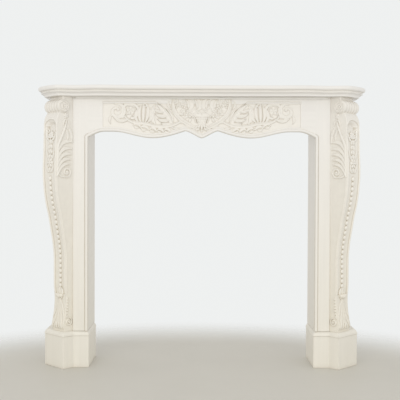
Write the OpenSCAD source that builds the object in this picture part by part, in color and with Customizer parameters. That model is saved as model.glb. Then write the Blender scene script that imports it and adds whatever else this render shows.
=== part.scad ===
// Carved French fire surround in painted wood: shaped shelf, frieze with a scalloped opening
// and a carved panel, and two legs with canted S-shaped consoles on plinth blocks.
// Millimetres. The floor is z = 0, x = 0 is the middle, and the wall is at y = +shelf_d / 2.

/* [Overall] */
// Height from the floor to the top of the shelf
overall_h = 1100; // [900:1:1330]
// Depth from the wall to the furthest point of the shelf's front edge
shelf_d = 270; // [262:1:340]
// Width of the fire opening between the pilasters
opening_w = 892; // [740:1:1100]

/* [Shelf] */
// Thickness of the shelf with its moulding
shelf_t = 39; // [35:1:60]
// How far the shelf runs past the outer face of each plinth
shelf_over = 21; // [12:1:40]
// How far the moulding under the shelf is set in from its edge
shelf_inset = 24; // [16:1:28]
// How far the middle of the shelf's edge stands back from its fullest point
shelf_middle_back = 8; // [0:1:12]
// How far the hollow of the shelf's edge beside each console stands back
shelf_hollow_back = 13; // [0:1:16]

/* [Frieze] */
// Height of the frieze from the lobes of its lower edge to the shelf
frieze_h = 159; // [140:1:200]
// Thickness of the frieze board
frieze_t = 24; // [20:1:30]
// How far the two cusps of the lower edge rise above its lobes
cusp_rise = 28; // [10:1:34]
// How far the long crests beside the pilasters rise above the lobes
crest_rise = 25; // [10:1:34]
// Width of the bead round the opening
bead_w = 11; // [8:1:14]
// How far the bead stands out
bead_out = 4; // [2:0.5:6]
// Width of the plain field at each end of the carved panel
panel_end_border = 58; // [20:1:90]
// Height of the plain border over the carved panel
panel_top_border = 26; // [22:1:32]
// Depth that the carved panel is sunk
panel_sink = 5; // [3:0.5:8]
// Thickness of the ground of the carving
ground_t = 2; // [1:0.5:3]
// Gap all round the carved panel in its sinking
panel_fit = 0.3; // [0.1:0.1:0.6]
// Height of the moulding between frieze and shelf
bed_h = 7; // [4:1:10]
// How far that moulding stands out
bed_out = 10; // [5:1:14]

/* [Legs] */
// Width of each plinth block
plinth_w = 183; // [165:1:220]
// Height of each plinth block without its cap
plinth_h = 124; // [90:1:170]
// Height of the moulded cap on the plinth
cap_h = 19; // [14:1:26]
// How far the cap's top is set in from the plinth
cap_inset = 13; // [8:1:15]
// How far the cap's lower edge stands out over the plinth
cap_out = 2; // [0.5:0.5:4]
// Depth of the flat front of the plinth from the wall
plinth_d = 202; // [190:1:230]
// Width of the flat front of the plinth beside the opening
plinth_flat_w = 61; // [50:1:75]
// How far the plinth's nose stands in front of its flat front
nose_out = 33; // [26:1:40]
// How far the pilaster is set back from the plinth, at the front and beside the opening
pilaster_back = 6; // [3:1:9]
// Thickness of the boards of the leg
board_t = 22; // [16:1:26]
// How far the outer side of the leg is set in from the plinth
leg_inset = 44; // [36:1:50]

/* [Consoles] */
// Width of the console
console_w = 84; // [70:1:92]
// How far the belly of the console stands out from the plinth's canted face
belly_out = 32; // [24:1:36]
// Distance from the shelf's underside down to the fullest point of the belly
belly_drop = 288; // [240:1:330]
// How far the slim part of the console stands back from the plinth's canted face
stem_in = 17; // [12:1:22]
// Height over the cap at which the slim part begins to swell
stem_h = 274; // [200:1:300]
// Depth from the plinth's canted face to the back of the console
console_back = 50; // [46:1:56]
// Radius of the roll at the top of the console
roll_r = 27; // [22:1:29]
// Width of the roll
roll_w = 102; // [90:1:106]
// Gap between the roll and the shelf
roll_gap = 12; // [8:1:20]
// Number of ribs round the roll
roll_ribs = 6; // [4:1:8]
// Distance between the beads down the front of the console
bead_pitch = 19; // [16:1:26]
// Thickness of the leaf carved on each side of the console
leaf_t = 4; // [2:0.5:5]

/* [Hidden] */
cream = [0.91, 0.89, 0.84];
shade = [0.87, 0.85, 0.79];

wall_y = shelf_d / 2;
shelf_z = overall_h - shelf_t;
low_z = shelf_z - frieze_h;
cap_z = plinth_h + cap_h;

// Right leg, in x and in depth from the wall
plinth_x = opening_w / 2 - pilaster_back + 1;
outer_x = plinth_x + plinth_w;
nose_x = plinth_x + plinth_flat_w + nose_out;
nose_d = plinth_d + nose_out;
half_w = outer_x + shelf_over;
face_d = plinth_d - pilaster_back;
leg_x = outer_x - leg_inset;
back_sum = nose_x + nose_d - console_back * sqrt(2);
front_x = back_sum - face_d;
turn_d = back_sum - leg_x;
board_step = board_t * (sqrt(2) - 1);
cant_inner = board_t * sqrt(2);
canted_len = (outer_x - nose_x) * sqrt(2);
console_s = canted_len * 0.4;

panel_w = opening_w - 2 * panel_end_border;
panel_z = shelf_z - panel_top_border;
panel_low = bead_w + 6;
panel_scale = panel_w / 776;

// Small sizes of the carving
stroke_steps = 14;
fillet_w = 8;
recess = 3;
border_w = 12;

// ---- curves ----
function lerp(a, b, t) = a + (b - a) * t;
function ease(t) = (1 - cos(180 * t)) / 2;
function unit(v) = v / norm(v);
function left_of(v) = [-v[1], v[0]];
function flat(a) = [for (b = a) for (c = b) c];
function reversed(a) = [for (i = [len(a) - 1 : -1 : 0]) a[i]];
function flipped(a) = [for (p = a) [-p[0], p[1]]];

// A smooth wave through knots of position and value
function wave(k, x, i = 0) =
    x <= k[0][0] ? k[0][1] :
    i >= len(k) - 1 ? k[len(k) - 1][1] :
    x <= k[i + 1][0] ? lerp(k[i][1], k[i + 1][1], ease((x - k[i][0]) / (k[i + 1][0] - k[i][0]))) :
    wave(k, x, i + 1);

// Cubic curve from p[0] to p[3] with handles p[1] and p[2]
function curve(p, n = stroke_steps) = [
    for (i = [0 : n]) let (t = i / n, u = 1 - t)
        u * u * u * p[0] + 3 * u * u * t * p[1] + 3 * u * t * t * p[2] + t * t * t * p[3]
];

// Spiral about c whose radius runs from r0 to r1 between two angles
function spiral(c, r0, r1, a0, a1, n = stroke_steps) = [
    for (i = [0 : n]) let (t = i / n, a = lerp(a0, a1, t))
        c + lerp(r0, r1, t) * [cos(a), sin(a)]
];

function heading(p, i) = unit(p[min(i + 1, len(p) - 1)] - p[max(i - 1, 0)]);

// Outline of a band along a line, w0 wide at its start, w1 at its middle and w2 at its end
function band(p, w0, w1, w2) =
    let (
        n = len(p) - 1,
        half = [for (i = [0 : n]) let (t = i / n)
            (t < 0.5 ? lerp(w0, w1, ease(2 * t)) : lerp(w1, w2, ease(2 * t - 1))) / 2]
    )
    concat(
        [for (i = [0 : n]) p[i] + half[i] * left_of(heading(p, i))],
        [for (i = [n : -1 : 0]) p[i] - half[i] * left_of(heading(p, i))]
    );

// Outline of a disc whose edge is notched into petals
function petals(c, r, count, depth, n = 6) = [
    for (i = [0 : count * n - 1]) let (a = 360 * i / (count * n))
        c + (r - depth * (1 - abs(sin(a * count / 2)))) * [cos(a), sin(a)]
];

// ---- shaping helpers ----
// Solid skin through rings of equal length, each one level and anticlockwise from above
module loft(rings) {
    n = len(rings[0]);
    last = (len(rings) - 1) * n;
    polyhedron(
        points = flat(rings),
        faces = concat(
            [[for (i = [0 : n - 1]) i]],
            [concat([last], [for (i = [n - 1 : -1 : 1]) last + i])],
            [for (k = [0 : len(rings) - 2]) for (i = [0 : n - 1])
                let (a = k * n + i, b = k * n + (i + 1) % n) [a, a + n, b + n, b]]
        )
    );
}

// Plan outline, in x and depth, as points on the floor plan
function placed(outline) = [for (p = outline) [p[0], wall_y - p[1]]];

module upright(outline, z0, z1) {
    translate([0, 0, z0])
        linear_extrude(z1 - z0)
            polygon(placed(outline));
}

// Front outline, in x and z, standing between two depths from the wall
module facing(outline, d0, d1) {
    translate([0, wall_y - d0, 0])
        rotate([90, 0, 0])
            linear_extrude(d1 - d0)
                polygon(outline);
}

module both_sides() {
    children();
    mirror([1, 0, 0])
        children();
}

// ---- shelf ----
edge_x = nose_x + 20;
edge_back = 6;
edge_turn = 25;
corner_d = nose_d - 63;
edge_knots = [
    [0, shelf_d - shelf_middle_back],
    [edge_x - 275, shelf_d - shelf_middle_back],
    [edge_x - 160, shelf_d],
    [edge_x - 65, shelf_d - shelf_hollow_back],
    [edge_x, shelf_d - edge_back]
];
edge_steps = 36;

// Right half of the shelf's edge, in x and depth, from the middle to the wall
half_edge = concat(
    [for (i = [0 : edge_steps - 1]) let (x = edge_x * i / edge_steps) [x, wave(edge_knots, x)]],
    curve([[edge_x, shelf_d - edge_back], [edge_x + edge_turn, shelf_d - edge_back],
        [half_w, corner_d + edge_turn], [half_w, corner_d]], 9),
    [for (t = [0.75 : -0.25 : 0.25]) [half_w, corner_d * t]],
    [[half_w, 0]]
);
full_edge = concat(flipped(reversed(half_edge)), [for (i = [1 : len(half_edge) - 1]) half_edge[i]]);

function set_in(p, i, by) =
    i == 0 ? p[i] + [by, 0] :
    i == len(p) - 1 ? p[i] - [by, 0] :
    p[i] + by * left_of(heading(p, i)) * -1;

// Levels of the shelf's edge from its underside up: height and how far it is set in
lip_h = 17;
groove_h = 9;
ovolo_h = shelf_t - lip_h - groove_h;
shelf_levels = concat(
    [[0, shelf_inset]],
    [for (a = [0 : 22.5 : 90]) [2 + (ovolo_h - 2) * sin(a), shelf_inset - (shelf_inset - 10) * (1 - cos(a))]],
    [[ovolo_h + 0.5, 12], [ovolo_h + groove_h - 1, 12]],
    [for (a = [-75 : 25 : 75]) [shelf_t - lip_h / 2 + lip_h / 2 * sin(a), 8 * (1 - cos(a))]],
    [[shelf_t, 8]]
);

module shelf() {
    color(cream)
        loft([for (v = shelf_levels)
            concat(
                [[0, wall_y, shelf_z + v[0]]],
                [for (i = [0 : len(full_edge) - 1])
                    let (p = set_in(full_edge, i, v[1])) [p[0], wall_y - p[1], shelf_z + v[0]]]
            )
        ]);
}

// ---- frieze ----
cusp_x = opening_w * 0.072;
lobe_x = opening_w * 0.219;
crest_x = opening_w * 0.41;
crest_half = 15;
// The drop between the cusps: how far round the sine its sides run, and how full they are
drop_turn = 75;
drop_fullness = 1.45;
corner_rise = 2;

// Height of the frieze's lower edge over its lobes
function scallop(x) = let (a = abs(x))
    a < cusp_x ? cusp_rise * pow(sin(drop_turn * a / cusp_x) / sin(drop_turn), drop_fullness) :
    a < lobe_x ? cusp_rise * (1 - cos(90 * (lobe_x - a) / (lobe_x - cusp_x))) :
    a < crest_x - crest_half ? crest_rise * ease((a - lobe_x) / (crest_x - crest_half - lobe_x)) :
    a < crest_x + crest_half ? crest_rise :
    corner_rise + (crest_rise - corner_rise)
        * cos(90 * (a - crest_x - crest_half) / (opening_w / 2 - crest_x - crest_half));

// Points across the opening that fall on both cusps
half_xs = concat(
    [for (i = [0 : 7]) cusp_x * i / 8],
    [for (i = [0 : 44]) lerp(cusp_x, opening_w / 2, i / 44)]
);
opening_xs = concat([for (x = reversed(half_xs)) -x], [for (i = [1 : len(half_xs) - 1]) half_xs[i]]);
lower_edge = [for (x = opening_xs) [x, low_z + scallop(x)]];

// The lower edge moved up into the board, kept within its two ends
function raised_edge(by) = [
    for (i = [0 : len(lower_edge) - 1])
        let (p = lower_edge[i] + by * left_of(heading(lower_edge, i)))
        [max(-opening_w / 2, min(opening_w / 2, p[0])), p[1]]
];

function edge_band(from, to) = concat(raised_edge(from), reversed(raised_edge(to)));

function panel_outline(gap) = let (half = panel_w / 2 - gap, xs = [for (x = opening_xs) if (abs(x) < half) x])
    concat(
        [[-half, low_z + scallop(half) + panel_low + gap]],
        [for (x = xs) [x, low_z + scallop(x) + panel_low + gap]],
        [[half, low_z + scallop(half) + panel_low + gap], [half, panel_z - gap], [-half, panel_z - gap]]
    );

// Raised fillet over each end of the carved panel
module end_fillets() {
    fillet_z = panel_z + 2;
    fillet_x = 178 * panel_scale;
    both_sides()
        facing([[fillet_x, fillet_z], [panel_w / 2, fillet_z],
            [panel_w / 2, fillet_z + fillet_w], [fillet_x, fillet_z + fillet_w]],
            face_d - 1, face_d + 2.5);
}

module frieze() {
    color(cream)
        union() {
            difference() {
                facing(concat(lower_edge, [[opening_w / 2, shelf_z], [-opening_w / 2, shelf_z]]),
                    face_d - frieze_t, face_d);
                facing(panel_outline(0), face_d - panel_sink, face_d + 1);
            }
            facing(edge_band(0, bead_w), face_d - 1, face_d + bead_out * 0.6);
            facing(edge_band(2, bead_w - 2), face_d - 1, face_d + bead_out);
            end_fillets();
        }
}

module bed_moulding() {
    bed_end = front_x - bed_out;
    section = [
        [face_d, shelf_z - bed_h], [face_d + bed_out * 0.5, shelf_z - bed_h],
        [face_d + bed_out * 0.6, shelf_z - bed_h * 0.5], [face_d + bed_out, shelf_z - bed_h * 0.35],
        [face_d + bed_out, shelf_z], [face_d, shelf_z]
    ];
    color(cream)
        translate([-bed_end, 0, 0])
            rotate([90, 0, 90])
                linear_extrude(2 * bed_end)
                    polygon([for (p = section) [wall_y - p[0], p[1]]]);
}

// ---- carved panel ----
carve_d = face_d - panel_sink;
ornament_zs = (panel_z - low_z) / 132;

// Point of the carving, from its own grid of 388 by 132, to the frieze
function on_panel(p) = [p[0] * panel_scale, low_z + p[1] * ornament_zs];
function mapped(a) = [for (p = a) on_panel(p)];

// One element of the carving, standing a height over the ground
module raised(outline, height) {
    facing(mapped(outline), carve_d + ground_t / 2, carve_d + ground_t + height);
}

module outer_scroll() {
    raised(band(spiral([330, 111], 20, 31, 60, 245), 9, 10, 7), 5);
    raised(band(curve([[317, 79], [312, 62], [300, 64], [290, 75]]), 5, 12, 7), 4.2);
    raised(petals([338, 108], 7, 5, 1.5), 4);
}

module rose_scroll() {
    raised(band(spiral([280, 108], 36, 21, 250, -80, 28), 10, 9, 6), 6);
    raised(petals([280, 108], 14, 6, 3), 5);
    raised(petals([280, 108], 6, 6, 1), 7);
}

module leaf_fingers() {
    for (i = [0 : 3]) {
        x = 246 - 15 * i;
        z = 64 - 2.5 * i;
        raised(band(curve([[x - 4, z], [x + 6, z + 18], [x + 8, z + 38], [x + 2 - i, z + 58 - 3 * i]]),
            6, 13, 3), 4.4 + 0.3 * i);
    }
}

module main_stem() {
    raised(band(curve([[268, 74], [256, 56], [232, 62], [204, 54]], 20), 6, 9, 11), 5.6);
    raised(band(curve([[210, 56], [180, 44], [150, 40], [112, 52]], 20), 11, 10, 7), 6.2);
}

module tall_leaf() {
    raised(band(curve([[116, 52], [128, 84], [142, 112], [166, 140]], 20), 10, 26, 3), 4.8);
    raised(band(curve([[118, 54], [130, 86], [143, 112], [163, 138]], 20), 3, 5, 2), 6.6);
    for (i = [0 : 3]) {
        x = 128 + 9 * i;
        z = 66 + 19 * i;
        raised(band(curve([[x, z], [x + 10, z + 4], [x + 18, z + 5], [x + 24 - 2 * i, z + 14]]), 10, 11, 3),
            4.1 + 0.2 * i);
    }
}

module low_sprays() {
    for (i = [0 : 4]) {
        x = 246 - 24 * i;
        z = 56 - (i < 2 ? 3 * i : 8);
        raised(band(curve([[x, z], [x + 4, z - 12], [x + 12, z - 18 + i], [x + 24, z - 18 + i]]), 8, 9, 3),
            3.2 + 0.2 * i);
    }
}

module heart_stem() {
    raised(band(curve([[110, 118], [100, 84], [62, 60], [16, 34]], 24), 16, 19, 9), 6.8);
    raised(band(spiral([98, 126], 16, 7, 215, -60, 18), 9, 8, 5), 7.2);
    raised(band(curve([[74, 66], [86, 66], [96, 60], [90, 52]]), 6, 9, 3), 3.8);
}

module crest_row() {
    raised(petals([72, 131], 12, 5, 2), 5.2);
    raised(petals([46, 131], 14, 6, 2), 5.8);
    raised(petals([18, 133], 14, 5, 2), 6.4);
}

module basket_half() {
    raised([[-1, 62], [12, 62], [19, 82], [-1, 82]], 5.4);
    raised([[-1, 79], [23, 79], [23, 84], [-1, 84]], 6.4);
    raised(petals([46, 104], 12, 6, 2), 4.6);
    raised(petals([46, 104], 5, 5, 1), 6);
    raised(petals([14, 93], 10, 5, 2), 6.1);
    raised(petals([30, 86], 8, 5, 1.5), 5);
    raised(band(curve([[10, 62], [24, 56], [34, 66], [38, 80]]), 5, 8, 3), 4.3);
}

module centre_drop() {
    raised(band(curve([[0, 147], [0, 136], [0, 126], [0, 112]]), 4, 12, 4), 7.1);
    raised(petals([0, 102], 10, 6, 2), 6.9);
    raised([[-9, 64], [-6, 44], [0, 24], [6, 44], [9, 64]], 5.1);
    raised(petals([0, 44], 9, 5, 2), 7.3);
}

module carved_panel() {
    border_top = shelf_z - bed_h - 1;
    color(shade)
        difference() {
            union() {
                facing(panel_outline(panel_fit), carve_d, carve_d + ground_t);
                both_sides() {
                    outer_scroll();
                    rose_scroll();
                    leaf_fingers();
                    main_stem();
                    tall_leaf();
                    low_sprays();
                    heart_stem();
                    crest_row();
                    basket_half();
                }
                centre_drop();
            }
            facing([[-panel_w / 2, panel_z - panel_fit], [panel_w / 2, panel_z - panel_fit],
                [panel_w / 2, shelf_z + 1], [-panel_w / 2, shelf_z + 1]], carve_d - 1, face_d);
            facing([[-panel_w / 2, border_top], [panel_w / 2, border_top],
                [panel_w / 2, shelf_z + 20], [-panel_w / 2, shelf_z + 20]], face_d - 1, face_d + 20);
            end_fillets();
        }
}

// ---- leg boards ----
module pilaster() {
    x0 = opening_w / 2;
    bead_mid = x0 + bead_w / 2;
    bead_z = low_z + corner_rise + bead_w;
    plan = [
        [x0, face_d - board_t], [x0, face_d], [front_x, face_d], [front_x - board_step, face_d - board_t]
    ];
    quirk = [
        [x0 + bead_w - 0.5, face_d + 1], [x0 + bead_w + 0.5, face_d - 1.5],
        [x0 + bead_w + 2.5, face_d - 1.5], [x0 + bead_w + 3.5, face_d + 1]
    ];
    bead = concat(
        [[x0, face_d - 1]],
        [for (a = [180 : -30 : 0]) [bead_mid + bead_w / 2 * cos(a), face_d + bead_out * sin(a)]],
        [[x0 + bead_w, face_d - 1]]
    );
    color(cream)
        union() {
            difference() {
                upright(plan, cap_z, shelf_z);
                upright(quirk, cap_z - 1, bead_z);
            }
            upright(bead, cap_z, bead_z);
        }
}

module inner_return() {
    x0 = opening_w / 2;
    color(shade)
        upright([[x0, 0], [x0, face_d - board_t], [x0 + board_t, face_d - board_t], [x0 + board_t, 0]],
            cap_z, shelf_z);
}

module canted_board() {
    color(shade)
        upright([[front_x - board_step, face_d - board_t], [front_x, face_d], [leg_x, turn_d],
            [leg_x - board_t, turn_d - board_step]], cap_z, shelf_z);
}

module outer_return() {
    color(cream)
        upright([[leg_x - board_t, 0], [leg_x - board_t, turn_d - board_step], [leg_x, turn_d], [leg_x, 0]],
            cap_z, shelf_z);
}

// ---- plinth ----
// Plan of the plinth, grown outwards by a distance
function plinth_plan(by) = let (k = sqrt(2)) [
    [plinth_x - by, 0],
    [plinth_x - by, plinth_d + by],
    [plinth_x + plinth_flat_w - by * (k - 1), plinth_d + by],
    [nose_x, nose_d + by * k],
    [outer_x + by, nose_d - (outer_x - nose_x) + by * (k - 1)],
    [outer_x + by, 0]
];

module plinth() {
    color(cream)
        upright(plinth_plan(0), 0, plinth_h);
}

module plinth_cap() {
    levels = [
        [0, cap_out], [cap_h * 0.3, cap_out], [cap_h * 0.36, 0.2],
        [cap_h * 0.84, 2 - cap_inset], [cap_h, -cap_inset]
    ];
    color(cream)
        loft([for (v = levels)
            [for (p = placed(plinth_plan(v[1]))) [p[0], p[1], plinth_h + v[0]]]
        ]);
}

// ---- console ----
// Its own frame: x across the canted face from the nose, -y out of that face
module on_canted_face() {
    translate([nose_x, wall_y - nose_d, 0])
        rotate([0, 0, 45])
            translate([console_s, 0, 0])
                children();
}

roll_z = shelf_z - roll_gap - roll_r;
roll_e = -4;
neck_z = roll_z - roll_r * 0.6;
belly_z = shelf_z - belly_drop;
profile_knots = [
    [cap_z, 1 - cap_inset], [cap_z + 18, -6], [cap_z + 116, -stem_in - 4], [cap_z + stem_h, -stem_in],
    [belly_z, belly_out], [neck_z - 90, belly_out - 5], [neck_z - 40, belly_out - 6], [neck_z, 8]
];
profile_steps = 46;

// How far the console's front stands out of the canted face at a height
function out_at(z) = wave(profile_knots, z);

profile_zs = [for (i = [0 : profile_steps]) lerp(cap_z, neck_z, i / profile_steps)];

// Outline of a slice of the console between two distances under its front
function slice(under0, under1, z0, z1) = let (zs = [for (z = profile_zs) if (z > z0 && z < z1) z])
    concat(
        [for (z = concat([z0], zs, [z1])) [-out_at(z) + under0, z]],
        [for (z = reversed(concat([z0], zs, [z1]))) [-out_at(z) + under1, z]]
    );

// Outline in depth and height, run across the console from x0 to x1
module across(outline, x0, x1) {
    translate([x0, 0, 0])
        rotate([90, 0, 90])
            linear_extrude(x1 - x0)
                polygon(outline);
}

body_outline = concat(
    [for (z = profile_zs) [-out_at(z), z]],
    [[-roll_e, roll_z - roll_r * 0.6], [-roll_e, shelf_z], [console_back, shelf_z], [console_back, cap_z]]
);

chain_z0 = cap_z + 155;
chain_z1 = belly_z - 22;
recess_z1 = neck_z - 36;
flower_z = recess_z1 - 52;

module recess_cutter() {
    half = console_w / 2 - border_w;
    intersection() {
        across(slice(-8, recess, chain_z0 - 14, recess_z1), -half, half);
        translate([0, console_back, 0])
            rotate([90, 0, 0])
                linear_extrude(console_back + belly_out + 20)
                    polygon(concat(
                        [[-half, chain_z0 - 14], [half, chain_z0 - 14]],
                        [for (a = [0 : 15 : 180]) [half * cos(a), recess_z1 - half + half * sin(a)]]
                    ));
    }
}

// A round boss standing out of the console's front at a height
module front_boss(x, z, r, out) {
    translate([x, -out_at(z) + recess + 6, z])
        rotate([90, 0, 0])
            cylinder(r = r, h = out + 6, $fn = 32);
}

module roll() {
    rib = roll_w / roll_ribs;
    rib_steps = 6;
    profile = concat(
        [[0, -roll_w / 2 - 3], [8, -roll_w / 2 - 3], [8, -roll_w / 2 - 1.5], [roll_r - 5, -roll_w / 2 - 1.5],
         [roll_r - 4, -roll_w / 2]],
        [for (i = [0 : roll_ribs - 1]) for (k = [0 : rib_steps - 1])
            [roll_r - 3 * (1 - sin(180 * k / rib_steps)), -roll_w / 2 + rib * (i + k / rib_steps)]],
        [[roll_r - 4, roll_w / 2], [roll_r - 5, roll_w / 2 + 1.5], [8, roll_w / 2 + 1.5],
         [8, roll_w / 2 + 3], [0, roll_w / 2 + 3]]
    );
    translate([0, -roll_e, roll_z])
        rotate([0, 90, 0])
            rotate_extrude($fn = 48)
                polygon(profile);
}

// Acanthus leaf on the side of the console: a rib under the edge and lobes swept back and up
module side_leaf() {
    z0 = belly_z + 18;
    z1 = neck_z - 12;
    lobes = 6;
    across(slice(3, 10, z0, z1), 0, leaf_t);
    for (i = [0 : lobes - 1]) {
        z = lerp(z0 + 4, z1 - 34, i / (lobes - 1));
        y = -out_at(z) + 8;
        across(band(curve([[y, z], [y + 14, z - 8], [y + 34 - 2 * i, z - 4], [y + 44 - 3 * i, z + 20]]), 10, 13, 4),
            0, leaf_t * (0.7 + 0.04 * i));
    }
}

module side_volutes() {
    y = -out_at(belly_z) + 42;
    translate([0, y, belly_z - 12])
        rotate([0, 90, 0]) {
            cylinder(r = 23, h = leaf_t * 0.9, $fn = 40);
            cylinder(r = 9, h = leaf_t * 1.5, $fn = 32);
        }
    across(band(spiral([y, belly_z - 12], 26, 15, -170, 200, 26), 3, 5, 4), 0, leaf_t * 1.2);
    translate([0, 20, cap_z + 30])
        rotate([0, 90, 0]) {
            cylinder(r = 12, h = leaf_t * 0.8, $fn = 32);
            cylinder(r = 5, h = leaf_t * 1.2, $fn = 32);
        }
}

module console_right() {
    beads = floor((chain_z1 - chain_z0) / bead_pitch);
    side = console_w / 2;
    color(cream)
        on_canted_face()
            union() {
                difference() {
                    across(body_outline, -side, side);
                    recess_cutter();
                }
                roll();
                for (i = [0 : beads])
                    front_boss(0, lerp(chain_z0, chain_z1, i / beads), bead_pitch * 0.4, 3.5);
                for (a = [0 : 60 : 300])
                    front_boss(10 * cos(a), flower_z + 10 * sin(a), 7, 3);
                front_boss(0, flower_z, 5, 6);
                // Small roll that ends the beads
                translate([-side + 6, -out_at(cap_z + 134) + 2, cap_z + 134])
                    rotate([0, 90, 0])
                        cylinder(r = 9, h = 2 * side - 12, $fn = 32);
                both_sides()
                    translate([side - 0.5, 0, 0]) {
                        side_leaf();
                        side_volutes();
                    }
            }
}

// ---- nodes ----
module mirrored() {
    mirror([1, 0, 0])
        children();
}

shelf();
bed_moulding();
frieze();
carved_panel();
mirrored() pilaster();  // pilaster_left
pilaster();  // pilaster_right
mirrored() inner_return();  // inner_return_left
inner_return();  // inner_return_right
mirrored() canted_board();  // canted_board_left
canted_board();  // canted_board_right
mirrored() outer_return();  // outer_return_left
outer_return();  // outer_return_right
mirrored() console_right();  // console_left
console_right();
mirrored() plinth_cap();  // plinth_cap_left
plinth_cap();  // plinth_cap_right
mirrored() plinth();  // plinth_left
plinth();  // plinth_right
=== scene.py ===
import math
import bpy
import numpy as np
from mathutils import Euler, Matrix, Vector


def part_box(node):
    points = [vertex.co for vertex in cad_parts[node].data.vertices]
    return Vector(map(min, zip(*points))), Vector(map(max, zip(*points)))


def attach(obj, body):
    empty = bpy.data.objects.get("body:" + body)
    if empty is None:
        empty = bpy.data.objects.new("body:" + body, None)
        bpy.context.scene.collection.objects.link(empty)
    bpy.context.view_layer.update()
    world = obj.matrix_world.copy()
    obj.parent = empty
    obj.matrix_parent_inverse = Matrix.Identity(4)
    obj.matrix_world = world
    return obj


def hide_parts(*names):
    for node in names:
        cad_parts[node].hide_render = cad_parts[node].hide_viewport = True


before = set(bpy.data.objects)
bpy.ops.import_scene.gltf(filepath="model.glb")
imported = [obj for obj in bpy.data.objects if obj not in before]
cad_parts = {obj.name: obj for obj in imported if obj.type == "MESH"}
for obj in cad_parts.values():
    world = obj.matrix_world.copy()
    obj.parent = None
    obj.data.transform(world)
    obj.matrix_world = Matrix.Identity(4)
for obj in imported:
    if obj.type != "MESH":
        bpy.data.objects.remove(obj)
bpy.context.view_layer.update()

mm = 0.001
print("frame loaded:", len(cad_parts), "nodes")

# sizes that several pieces share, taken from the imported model
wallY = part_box("outer_return_right")[1].y
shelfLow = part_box("shelf")[0].z
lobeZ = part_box("frieze")[0].z
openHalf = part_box("frieze")[1].x
capLow, capTop = (corner.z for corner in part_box("plinth_cap_right"))
plinthLow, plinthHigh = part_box("plinth_right")
edgeBead = {"width": 11 * mm, "out": 4 * mm, "quirk": 2.6 * mm, "quirkDepth": 1.4 * mm}
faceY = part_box("frieze")[0].y + edgeBead["out"]
plinthFlat = 61 * mm
noseOut = 33 * mm
noseX = plinthLow.x + plinthFlat + noseOut
noseDepth = wallY - plinthLow.y


def smooth(t):
    t = np.clip(t, 0, 1)
    return t * t * (3 - 2 * t)


def throughKnots(knots, where):
    # a smooth line through knots of place and value, level at its turning points
    knots = np.array(knots, float)
    place, value = knots[:, 0], knots[:, 1]
    step = np.diff(place)
    slope = np.diff(value) / step
    lean = np.zeros(len(place))
    same = slope[1:] * slope[:-1] > 0
    lean[1:-1][same] = 2 * slope[1:][same] * slope[:-1][same] / (slope[1:] + slope[:-1])[same]
    i = np.clip(np.searchsorted(place, where) - 1, 0, len(step) - 1)
    t = np.clip((where - place[i]) / step[i], 0, 1)
    a, b = lean[i] * step[i], lean[i + 1] * step[i]
    return (value[i] * (1 + 2 * t) * (1 - t) ** 2 + a * t * (1 - t) ** 2
            + value[i + 1] * t * t * (3 - 2 * t) - b * t * t * (1 - t))


def bezier(a, b, c, d, count=22):
    t = np.linspace(0, 1, count)[:, None]
    a, b, c, d = (np.array(p, float) for p in (a, b, c, d))
    return (1 - t) ** 3 * a + 3 * (1 - t) ** 2 * t * b + 3 * (1 - t) * t * t * c + t ** 3 * d


def joined(*curves):
    # curves that follow on from each other, as one line
    return np.concatenate([curves[0]] + [curve[1:] for curve in curves[1:]])


def spiral(centre, startRadius, endRadius, startTurn, endTurn, flat=1.0, count=40):
    t = np.linspace(0, 1, count)
    radius = startRadius + (endRadius - startRadius) * t
    turn = np.radians(startTurn + (endTurn - startTurn) * t)
    return np.stack([centre[0] + radius * np.cos(turn), centre[1] + flat * radius * np.sin(turn)], 1)


cuspX = 0.072 * 2 * openHalf


def scallop(x):
    # height of the frieze's lower edge over its lobes
    width = 2 * openHalf
    cuspRise, crestRise, cornerRise = 28 * mm, 25 * mm, 2 * mm
    lobeX, crestX, crestHalf = 0.219 * width, 0.41 * width, 15 * mm
    dropTurn, dropFullness = math.radians(75), 1.45
    x = np.abs(x)
    quarter = math.pi / 2
    inner = cuspRise * (np.sin(dropTurn * np.minimum(x / cuspX, 1)) / math.sin(dropTurn)) ** dropFullness
    outer = cuspRise * (1 - np.cos(quarter * (lobeX - x) / (lobeX - cuspX)))
    rise = crestRise * (1 - np.cos(math.pi * (x - lobeX) / (crestX - crestHalf - lobeX))) / 2
    fall = cornerRise + (crestRise - cornerRise) * np.cos(
        quarter * (x - crestX - crestHalf) / (openHalf - crestX - crestHalf))
    return np.select(
        [x < cuspX, x < lobeX, x < crestX - crestHalf, x < crestX + crestHalf],
        [inner, outer, rise, 0 * x + crestRise], fall)


# a field holds places u and v in millimetres and the height h of the relief there
def newField(u, v):
    return {"u": np.asarray(u, float).ravel(), "v": np.asarray(v, float).ravel(), "h": np.zeros(np.size(u))}


def nearLine(field, line, reach):
    low, high = line.min(0) - reach, line.max(0) + reach
    near = np.flatnonzero((field["u"] > low[0]) & (field["u"] < high[0])
                          & (field["v"] > low[1]) & (field["v"] < high[1]))
    u, v = field["u"][near], field["v"][near]
    steps = np.diff(line, axis=0)
    lengths = np.maximum(np.hypot(steps[:, 0], steps[:, 1]), 1e-9)
    before = np.concatenate([[0], np.cumsum(lengths)])
    off = np.full(len(near), 1e9)
    along, side = np.zeros(len(near)), np.zeros(len(near))
    for start, step, length, done in zip(line, steps, lengths, before):
        t = np.clip(((u - start[0]) * step[0] + (v - start[1]) * step[1]) / length ** 2, 0, 1)
        du, dv = u - start[0] - t * step[0], v - start[1] - t * step[1]
        distance = np.hypot(du, dv)
        closer = distance < off
        off[closer] = distance[closer]
        along[closer] = ((done + t * length) / before[-1])[closer]
        side[closer] = np.sign(step[0] * dv - step[1] * du)[closer]
    return near, off, along, side


def raiseTo(field, where, height):
    field["h"][where] = np.maximum(field["h"][where], height)


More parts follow.
